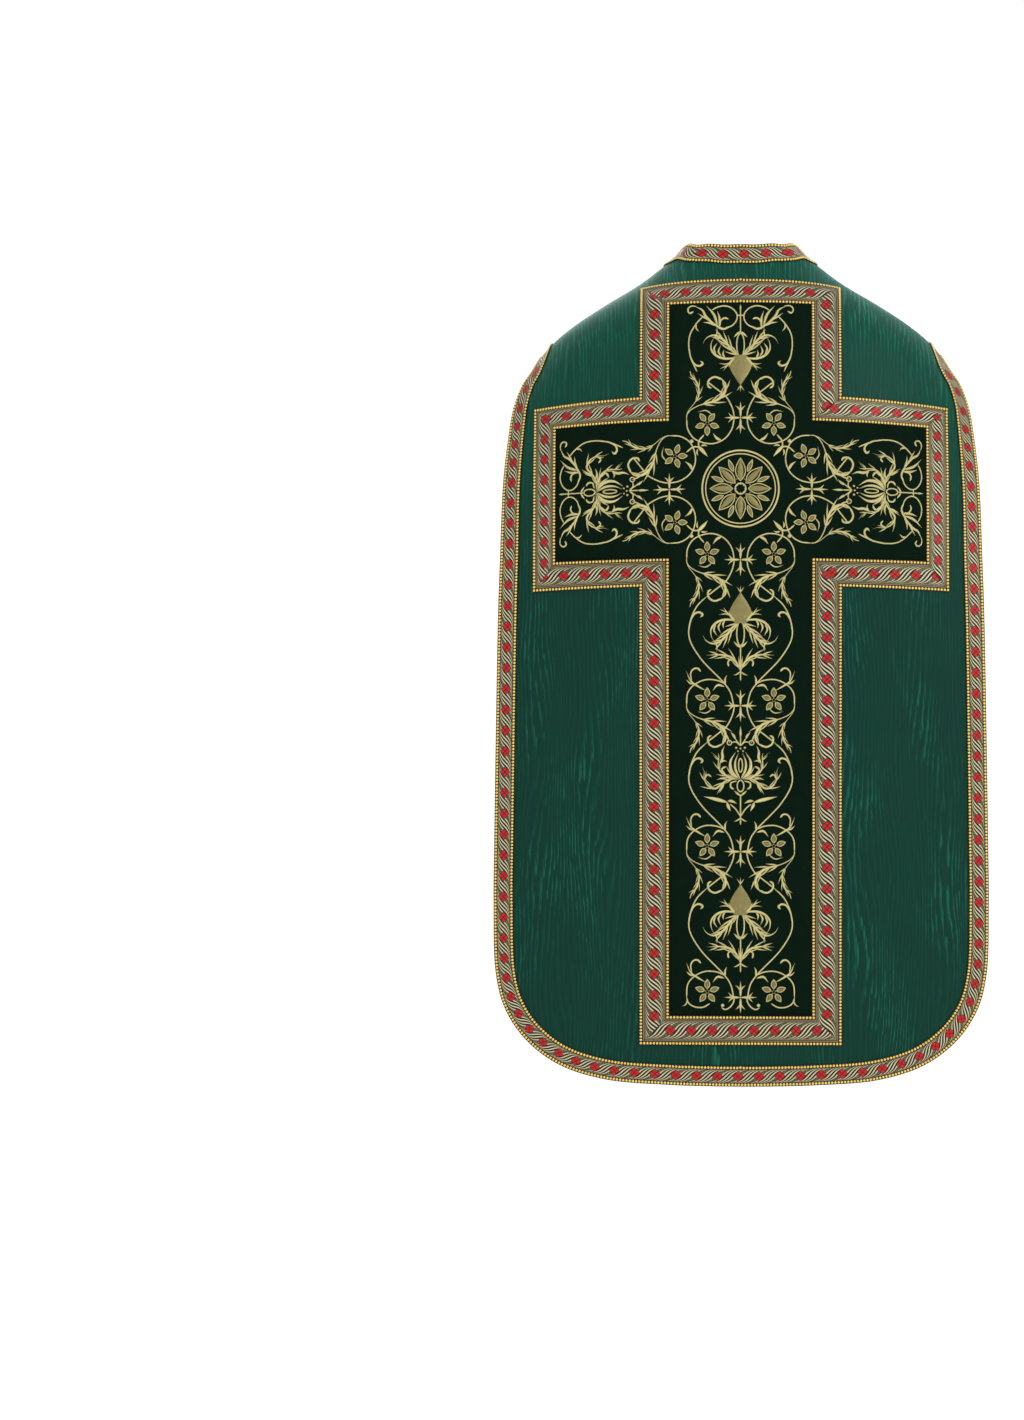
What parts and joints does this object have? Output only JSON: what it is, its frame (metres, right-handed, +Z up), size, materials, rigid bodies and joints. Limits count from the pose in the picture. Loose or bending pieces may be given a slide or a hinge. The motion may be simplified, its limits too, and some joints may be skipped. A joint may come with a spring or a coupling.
{
  "type": "roman chasuble",
  "caption": "Stiff green Roman chasuble, hollow as worn with no wearer, with a dark velvet cross behind, a column and bar in front, and woven gold braid on its edges.",
  "frame": {"origin": "on the shoulder line at the middle of the neck, where the garment is held", "axes": "+X towards the wearer's left, +Y towards the wearer's back, +Z up"},
  "size_m": [0.6506, 0.288, 1.1128],
  "materials": {
    "silk": "green moire silk, watered, low sheen",
    "lining": "plain dark green lining cloth, matt",
    "velvet": "near-black green velvet with gold embroidery",
    "braid": "woven silver-gold braid with red lozenges and rope edges",
    "gold_thread": "raised gold thread embroidery, satin"
  },
  "bodies": {
    "root": {"back_panel": "silk", "front_panel": "silk", "back_lining": "lining", "orphrey_back": "velvet", "orphrey_front": "velvet", "galloon_cross_back": "braid", "galloon_bar_front": "braid", "galloon_column_front_left": "braid", "galloon_column_front_right": "braid", "galloon_neck": "braid", "galloon_edge_back": "braid", "galloon_edge_front": "braid"}
  },
  "joints": []
}
